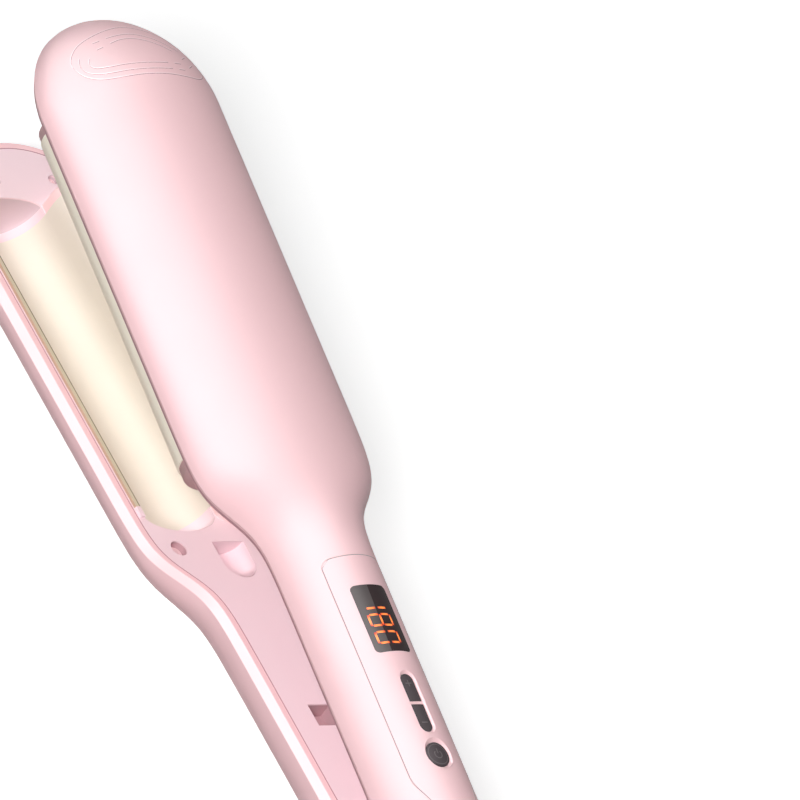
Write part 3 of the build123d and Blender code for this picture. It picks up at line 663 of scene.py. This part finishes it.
DIGIT = LitFinish("digit_orange", (236, 92, 48), 0.4, drift=0.0, specular=0.1)
DISPLAY = SmokedFinish("display_smoked", (56, 46, 47), 0.3, drift=0.0, grain_depth=0.000001, specular=0.03)
KEY_LOOK = {"color": (50, 42, 45), "roughness": 0.5, "specular": 0.08}
PLUS_KEY = MarkedFinish("key_plus_black", **KEY_LOOK, middle_x=74.6, grain_depth=0.00001)
MINUS_KEY = MarkedFinish(
    "key_minus_black", **KEY_LOOK, sign=Sign.MINUS, middle_x=62.6, grain_depth=0.00001
)
POWER_KEY = MarkedFinish("key_power_black", **KEY_LOOK, sign=Sign.POWER, middle_x=52.8, reach=1.15)

# A node is looked up by its own name first, and then by the name that both arms' pieces share.
NODE_FINISH: dict[str, Finish] = {
    "upper_shell": UPPER_PEARL,
    "lower_shell": LOWER_PEARL,
    "lower_inner_cover": HOLLOWED_COVER,
    "lower_wave_plate": RAILED_CREAM,
    "upper_wave_plate": BARREL_CREAM_PAINTED_LIGHT,
    "upper_barrel_tip_cap": BARREL_CAP_PAINTED_SHADE,
    "upper_barrel_neck_cap": BARREL_CAP_PAINTED_SHADE,
    "shell": PEARL,
    "inner_cover": COVER,
    "wave_plate": CREAM,
    "barrel_tip_cap": RING,
    "barrel_neck_cap": RING,
    "heater": HEATER,
    "heater_saddle": ALUMINIUM,
    "heater_carrier": CARRIER,
    "temperature_sensor": SENSOR,
    "thermal_fuse": ALUMINIUM,
    "cover_screws": PAINTED_SCREW,
    "tip_screws": PAINTED_SCREW,
    "hinge_pin": STEEL,
    "opening_spring": STEEL,
    "control_panel": PEARL,
    "display_window": DISPLAY,
    "display_module": CARRIER,
    "display_digits": DIGIT,
    "control_board": BOARD,
    "board_screws": STEEL,
    "key_switches": SWITCH,
    "plus_button": PLUS_KEY,
    "minus_button": MINUS_KEY,
    "power_button": POWER_KEY,
    "cord_swivel": SWIVEL,
}


@dataclass(frozen=True)
class Lamp:
    """A soft rectangular lamp: where it stands from the object, and what it takes part in."""

    name: str
    toward: tuple[float, float, float]
    size: tuple[float, float]
    power: float
    distance: float = 6.0
    shadow: bool = True
    matte: bool = True
    gloss: bool = True


LAMPS = (
    Lamp("key", (-0.449, 0.717, 0.536), (1.4, 1.4), 250.0, gloss=False),
    Lamp("top", (-0.25, 0.45, 0.85), (2.4, 2.4), 174.0, shadow=False, gloss=False),
    Lamp("sheen", (0.489, 0.458, 0.742), (11.0, 11.0), 10600.0, matte=False),
)


@dataclass
class Studio:
    """Camera, floor, world and lamps.

    The floor is pale where it is seen, itself or reflected, and darker where it only throws light back.
    """

    right: tuple[float, float, float] = (-0.4300, -0.7589, 0.4887)
    down: tuple[float, float, float] = (-0.7588, 0.0106, -0.6511)
    ahead: tuple[float, float, float] = (0.4889, -0.6508, -0.5804)
    target: tuple[float, float, float] = (0.15778, -0.03876, 0.05994)
    frame_width: float = 0.8 / 3.8
    lens: float = 1200.0
    sensor: float = 36.0
    clip_share: int = 3
    aim: tuple[float, float, float] = (0.15, 0.0, 0.03)
    floor_seen: tuple[float, float, float, float] = (0.95, 0.95, 0.95, 1.0)
    floor_bounce: tuple[float, float, float, float] = (0.3, 0.3, 0.3, 1.0)
    floor_glow: float = 0.4
    floor_reach: float = 30.0
    floor_roughness: float = 0.9
    fill: float = 0.02

    def camera(self) -> None:
        """Sets a long lens at the viewing angle, so that there is next to no perspective."""
        data = bpy.data.cameras.new("camera")
        data.lens = self.lens
        data.sensor_width = self.sensor
        distance = self.frame_width / 2 / (self.sensor / 2 / self.lens)
        data.clip_end = self.clip_share * distance
        camera = bpy.data.objects.new("camera", data)
        bpy.context.scene.collection.objects.link(camera)
        columns = [Vector(self.right), -Vector(self.down), -Vector(self.ahead)]
        turn = Matrix([column.normalized() for column in columns]).transposed()
        camera.matrix_world = Matrix.Translation(
            Vector(self.target) - Vector(self.ahead) * distance
        ) @ turn.to_4x4()
        bpy.context.scene.camera = camera

    def floor(self) -> None:
        """Lays a wide pale floor that shows white and keeps the shadow."""
        mesh = bpy.data.meshes.new("floor")
        shape = bmesh.new()
        bmesh.ops.create_grid(shape, x_segments=2, y_segments=2, size=self.floor_reach)
        shape.to_mesh(mesh)
        shape.free()
        plane = bpy.data.objects.new("floor", mesh)
        bpy.context.scene.collection.objects.link(plane)
        paint = Paint("floor_white")
        color = paint.blend(paint.seen(), self.floor_bounce, self.floor_seen)
        paint.set(Base_Color=color, Roughness=self.floor_roughness, Specular_IOR_Level=0.0)
        strength = self.floor_glow * paint.seen()
        glow = paint.node("ShaderNodeEmission", {}, {"Color": WHITE, "Strength": strength})
        both = paint.node("ShaderNodeAddShader", {}, {0: Signal(paint, paint.shader.outputs[0]), 1: glow})
        paint.put(paint.output.inputs["Surface"], both)
        mesh.materials.append(paint.material)

    def world(self) -> None:
        """Gives a surround that is white where it is seen and a faint fill light elsewhere."""
        world = bpy.data.worlds.new("studio")
        world.use_nodes = True
        bpy.context.scene.world = world
        sky = NodeTree(world.node_tree)
        strength = sky.seen() * (1.0 - self.fill) + self.fill
        light = sky.node("ShaderNodeBackground", {}, {"Color": WHITE, "Strength": strength})
        sky.make("ShaderNodeOutputWorld", {}, {"Surface": light})

    def lamp(self, lamp: Lamp) -> None:
        """Hangs one rectangular lamp."""
        data = bpy.data.lights.new(lamp.name, "AREA")
        data.shape = "RECTANGLE"
        data.size, data.size_y = lamp.size
        data.energy = lamp.power
        data.use_shadow = lamp.shadow
        hung = bpy.data.objects.new(lamp.name, data)
        bpy.context.scene.collection.objects.link(hung)
        toward = Vector(lamp.toward).normalized()
        hung.location = Vector(self.aim) + toward * lamp.distance
        hung.rotation_mode = "QUATERNION"
        hung.rotation_quaternion = (-toward).to_track_quat("-Z", "Y")
        hung.visible_diffuse = lamp.matte
        hung.visible_glossy = lamp.gloss

    def build(self) -> None:
        """Builds the whole studio."""
        self.camera()
        self.floor()
        self.world()
        for lamp in LAMPS:
            self.lamp(lamp)
        bpy.context.scene.view_settings.view_transform = "Standard"


@dataclass
class Frame:
    """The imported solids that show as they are, with their finishes."""

    def finish_of(self, name: str) -> Finish:
        """Looks up the finish of a node, with or without its arm's name in front."""
        shared = name.removeprefix("lower_").removeprefix("upper_")
        return NODE_FINISH.get(name, NODE_FINISH.get(shared, PEARL))

    def dress(self) -> None:
        """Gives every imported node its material."""
        made: dict[str, bpy.types.Material] = {}
        for name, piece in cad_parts.items():
            finish = self.finish_of(name)
            if finish.name not in made:
                made[finish.name] = finish.build()
            for slot in piece.material_slots:
                slot.material = made[finish.name]
            LOG.info("node %s takes %s", name, finish.name)


class Stroke(Enum):
    """Whether a line or tube runs between two ends or closes on itself."""

    OPEN = "open"
    CLOSED = "closed"


def tube(shape: bmesh.types.BMesh, rings: list[list[bmesh.types.BMVert]], stroke: Stroke) -> None:
    """Skins rings of vertices into a tube.

    Args:
        shape: The mesh that takes the faces.
        rings: Equal rings of vertices in order along the tube.
        stroke: Whether the last ring joins the first; an open tube gets two end faces.
    """
    sides = len(rings[0])
    closed = stroke is Stroke.CLOSED
    for index in range(len(rings) if closed else len(rings) - 1):
        first, second = rings[index], rings[(index + 1) % len(rings)]
        for side in range(sides):
            after = (side + 1) % sides
            shape.faces.new((first[side], first[after], second[after], second[side]))
    if not closed:
        shape.faces.new(rings[0])
        shape.faces.new(reversed(rings[-1]))


def make_piece(name: str, shape: bmesh.types.BMesh, finish: Finish, smooth: bool) -> bpy.types.Object:
    """Turns a finished shape into an object with its material.

    Args:
        name: The piece's name.
        shape: The shape, freed here.
        finish: The finish of the whole piece.
        smooth: Whether its faces are shaded smooth.

    Returns:
        The object, not yet riding on a body.
    """
    mesh = bpy.data.meshes.new(name)
    bmesh.ops.recalc_face_normals(shape, faces=shape.faces)
    shape.to_mesh(mesh)
    shape.free()
    for face in mesh.polygons:
        face.use_smooth = smooth
    made = bpy.data.objects.new(name, mesh)
    bpy.context.scene.collection.objects.link(made)
    mesh.materials.append(finish.build())
    LOG.info("piece %s: %d faces", name, len(mesh.polygons))
    return made


@dataclass
class SurfaceLine:
    """A fine bead laid along a line on the upper arm's surface, part sunk into it."""

    name: str
    finish: Finish
    radius: float
    sink: float
    sides: int = 8
    steps: int = 8
    above: float = 60.0

    def touch(self, node: str, x: float, y: float) -> tuple[Vector, Vector] | None:
        """Finds the outer surface of a node over a place in the arm's plan.

        Args:
            node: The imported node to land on.
            x: Along the arm, in millimetres.
            y: Across the arm, in millimetres.

        Returns:
            The place and the surface's normal in the row frame, or None beside the node.
        """
        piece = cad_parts[node]
        start = OPENING.row_point(x, y, self.above)
        down = OPENING.row_turn(Vector((0.0, 0.0, -1.0)))
        back = piece.matrix_world.inverted()
        hit, place, normal, _ = piece.ray_cast(back @ start, back.to_3x3() @ down)
        return (place, normal) if hit else None

    def between(self, points: list[Vector], stroke: Stroke) -> list[Vector]:
        """Runs a smooth line, a Catmull-Rom spline, through plan points.

        Args:
            points: Plan points in order.
            stroke: Whether the line closes on itself.

        Returns:
            The finer plan points.
        """
        count = len(points)
        closed = stroke is Stroke.CLOSED
        fine: list[Vector] = []
        for index in range(count if closed else count - 1):
            corners = []
            for offset in (-1, 0, 1, 2):
                place = index + offset
                corners.append(points[place % count] if closed else points[min(max(place, 0), count - 1)])
            before, first, second, after = corners
            for step in range(self.steps):
                t = step / self.steps
                pull = (second - before) * t + (before * 2 - first * 5 + second * 4 - after) * t**2
                fine.append(first + (pull + (first * 3 - before - second * 3 + after) * t**3) / 2)
        if not closed:
            fine.append(points[-1])
        return fine

    def lay(self, shape: bmesh.types.BMesh, node: str, plan: list[Vector], stroke: Stroke) -> None:
        """Adds one bead to a mesh.

        Args:
            shape: The mesh that takes the bead.
            node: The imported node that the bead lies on.
            plan: Plan points of the bead.
            stroke: Whether the bead closes on itself.
        """
        landed = [spot for spot in (self.touch(node, point.x, point.y) for point in plan) if spot]
        closed = stroke is Stroke.CLOSED
        rings = []
        for index, (place, normal) in enumerate(landed):
            ahead = landed[(index + 1) % len(landed)][0] if closed or index + 1 < len(landed) else place
            behind = landed[index - 1][0] if closed or index else place
            across = normal.cross(ahead - behind).normalized()
            middle = place - normal * self.sink * MM
            ring = []
            for side in range(self.sides):
                turn = 2 * math.pi * side / self.sides
                reach = (across * math.cos(turn) + normal * math.sin(turn)) * self.radius * MM
                ring.append(shape.verts.new(middle + reach))
            rings.append(ring)
        tube(shape, rings, stroke)

    def piece(self, node: str, strokes: list[tuple[list[Vector], Stroke]]) -> None:
        """Builds the beads as one piece that rides on the upper arm.

        Args:
            node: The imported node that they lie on.
            strokes: Plan points and kind of each bead.
        """
        shape = bmesh.new()
        for plan, stroke in strokes:
            self.lay(shape, node, plan, stroke)
        made = make_piece(self.name, shape, self.finish, smooth=True)
        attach(made, Body.UPPER_ARM.value)


@dataclass
class TipGrip:
    """Fine grip lines around the flat of the upper arm's tip: a ring and two broken lines inside it, each a
    dark bead of painted shade with a pale bead of painted highlight beside it.
    """

    ring: Plan = (
        (281.0, 0.0),
        (280.2, 5.6),
        (277.8, 13.0),
        (275.3, 17.6),
        (271.4, 20.8),
        (267.6, 21.2),
        (264.6, 19.6),
        (263.0, 16.2),
        (262.8, 11.0),
        (263.1, 4.0),
    )
    front_lines: tuple[Plan, ...] = (
        ((276.7, 8.5), (277.5, 4.2), (277.8, 0.0), (276.9, -4.8), (275.4, -9.0), (272.6, -14.6)),
        ((274.6, 8.5), (275.7, 4.7), (275.9, 0.6), (275.2, -3.2), (273.9, -7.2), (272.0, -11.2)),
    )
    back_lines: tuple[Plan, ...] = (
        (
            (271.4, 18.8),
            (268.9, 19.8),
            (266.5, 19.3),
            (265.0, 17.0),
            (264.6, 13.0),
            (264.8, 6.0),
            (265.0, -6.8),
        ),
        ((270.6, 16.6), (268.4, 17.6), (266.9, 16.4), (266.6, 12.6), (266.8, 7.0), (267.0, -6.2)),
    )
    dashes: tuple[Plan, ...] = (
        ((275.6, 13.1), (276.1, 10.9)),
        ((273.0, 13.4), (273.6, 11.3)),
        ((265.0, -9.4), (265.1, -11.8)),
        ((267.1, -8.8), (267.2, -11.4)),
        ((266.4, -14.6), (267.8, -17.0)),
        ((269.4, -13.6), (270.4, -15.6)),
    )
    # how far the beads of painted highlight sit towards the tip, in millimetres
    highlight_shift: float = 0.3

    def build(self) -> None:
        """Builds the beads of painted shade and the beads of painted highlight beside them."""
        dark = SurfaceLine("tip_grip_painted_shade", GRIP_PAINTED_SHADE, radius=0.25, sink=0.22)
        light = SurfaceLine("tip_grip_painted_highlights", GRIP_PAINTED_HIGHLIGHT, radius=0.2, sink=0.175)
        self.engrave(dark, 0.0)
        self.engrave(light, self.highlight_shift)

    def engrave(self, line: SurfaceLine, shift: float) -> None:
        """Builds every line once.

        Args:
            line: The bead to lay.
            shift: How far it is moved towards the tip, in millimetres.
        """
        far_side = [(x, -y) for x, y in reversed(self.ring[1:])]
        ring = [Vector((x + shift, y)) for x, y in (*self.ring, *far_side)]
        strokes = [(line.between(ring, Stroke.CLOSED), Stroke.CLOSED)]
        for plan in (*self.front_lines, *self.back_lines, *self.dashes):
            points = [Vector((x + shift, y)) for x, y in plan]
            strokes.append((line.between(points, Stroke.OPEN), Stroke.OPEN))
        line.piece("upper_shell", strokes)


@dataclass
class PanelSeam:
    """The fine grey line in the seam around the control panel."""

    tip_x: float = 114.0
    corner_x: float = 46.0
    point_x: float = 30.0
    half_width: float = 10.0
    point_half_width: float = 4.0
    corner_radius: float = 2.5
    inset: float = 0.05
    spacing: float = 1.5
    arc_steps: int = 8

    def rounded(self, corners: list[Vector]) -> list[Vector]:
        """Rounds the corners of an outline.

        Args:
            corners: Corners in order.

        Returns:
            The outline with short arcs for corners and close points on its sides.
        """
        outline: list[Vector] = []
        for index, corner in enumerate(corners):
            before = (corners[index - 1] - corner).normalized()
            after = (corners[(index + 1) % len(corners)] - corner).normalized()
            start, end = corner + before * self.corner_radius, corner + after * self.corner_radius
            if outline:
                outline.extend(self.side(outline[-1], start))
            for step in range(self.arc_steps + 1):
                t = step / self.arc_steps
                outline.append(start * (1 - t) ** 2 + corner * 2 * t * (1 - t) + end * t**2)
        outline.extend(self.side(outline[-1], outline[0]))
        return outline

    def side(self, start: Vector, end: Vector) -> list[Vector]:
        """Points between the ends of a straight side, without the ends."""
        count = max(2, round((end - start).length / self.spacing))
        return [start.lerp(end, step / count) for step in range(1, count)]

    def build(self) -> None:
        """Builds the line just inside the panel's edge."""
        tip, wide, narrow = self.tip_x - self.inset, self.half_width - self.inset, self.point_half_width
        corners = [
            Vector(place)
            for place in (
                (tip, wide),
                (self.corner_x, wide),
                (self.point_x + self.inset, narrow),
                (self.point_x + self.inset, -narrow),
                (self.corner_x, -wide),
                (tip, -wide),
            )
        ]
        line = SurfaceLine("control_panel_seam", SEAM_LINE, radius=0.1, sink=0.045)
        line.piece("control_panel", [(self.rounded(corners), Stroke.CLOSED)])


@dataclass
class CoverSeam:
    """The dark line in the seam between the lower arm's inner cover and its shell."""

    cover: str = "lower_inner_cover"
    shell: str = "lower_shell"
    face_z: float = 17.0
    level: float = 0.05
    facing: float = 0.9
    reach: float = 0.3
    half_width: float = 0.14
    overlap: float = 0.5  # past each end of an edge, as a share of the half width
    rise: float = 0.05

    def edges(self) -> list[tuple[Vector, Vector]]:
        """Finds the edges of the cover's face that run along the shell.

        Returns:
            The two ends of each edge, in metres.
        """
        found = []
        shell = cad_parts[self.shell]
        shape = bmesh.new()
        shape.from_mesh(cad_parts[self.cover].data)
        for edge in shape.edges:
            ends = [vertex.co for vertex in edge.verts]
            flat = all(abs(end.z / MM - self.face_z) < self.level for end in ends)
            border = len(edge.link_faces) == 1 and edge.link_faces[0].normal.z > self.facing
            if not (flat and border):
                continue
            middle = (ends[0] + ends[1]) / 2
            _, touch, _, _ = shell.closest_point_on_mesh(middle)
            if (touch - middle).length / MM < self.reach:
                found.append((ends[0].copy(), ends[1].copy()))
        shape.free()
        return found

    def build(self) -> None:
        """Builds the line as flat strips over the seam."""
        shape = bmesh.new()
        up = Vector((0.0, 0.0, self.rise * MM))
        for start, end in self.edges():
            along = (end - start).normalized()
            side = along.cross(Vector((0.0, 0.0, 1.0))) * self.half_width * MM
            reach = along * self.half_width * MM * self.overlap
            loop = (start - reach - side, end + reach - side, end + reach + side, start - reach + side)
            low = [shape.verts.new(place - up) for place in loop]
            high = [shape.verts.new(place + up) for place in loop]
            shape.faces.new(reversed(low))
            shape.faces.new(high)
            for index in range(len(loop)):
                after = (index + 1) % len(loop)
                shape.faces.new((low[index], low[after], high[after], high[index]))
        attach(make_piece("cover_seam_line", shape, COVER_LINE, smooth=False), Body.LOWER_ARM.value)


@dataclass
class SpringCoil:
    """The coil between the two arms' cups."""

    middle_x: float = 32.5
    foot_z: float = 14.0
    rest_length: float = 13.6
    radius: float = 3.7
    wire: float = 0.5
    turns: int = 5
    steps: int = 36
    sides: int = 10

    def rings(self, shape: bmesh.types.BMesh) -> list[list[bmesh.types.BMVert]]:
        """Adds the wire's rings of vertices along the coil.

        Args:
            shape: The mesh that takes them.

        Returns:
            The rings in order.
        """
        rise = self.rest_length - 2 * self.wire
        count = self.turns * self.steps
        foot = Vector((self.middle_x, 0.0, self.foot_z + self.wire))
        rings = []
        for index in range(count + 1):
            turn = 2 * math.pi * index / self.steps
            out = Vector((math.cos(turn), math.sin(turn), 0.0))
            climb = Vector((0.0, 0.0, rise / self.turns / (2 * math.pi)))
            along = Vector((-out.y, out.x, 0.0)) * self.radius + climb
            side = along.cross(out).normalized()
            middle = foot + out * self.radius + Vector((0.0, 0.0, rise * index / count))
            ring = []
            for corner in range(self.sides):
                angle = 2 * math.pi * corner / self.sides
                reach = (out * math.cos(angle) + side * math.sin(angle)) * self.wire
                ring.append(shape.verts.new((middle + reach) * MM))
            rings.append(ring)
        return rings

    def build(self) -> None:
        """Builds the coil in place of its rigid solid."""
        shape = bmesh.new()
        tube(shape, self.rings(shape), Stroke.OPEN)
        made = make_piece("opening_spring_coil", shape, STEEL, smooth=True)
        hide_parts("opening_spring")
        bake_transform(made)


def main() -> None:
    """Builds the classes in order and reports each piece."""
    logging.basicConfig(level=logging.INFO, format="%(name)s %(message)s")
    Studio().build()
    Frame().dress()
    TipGrip().build()
    PanelSeam().build()
    CoverSeam().build()
    SpringCoil().build()


if __name__ == "__main__":
    main()
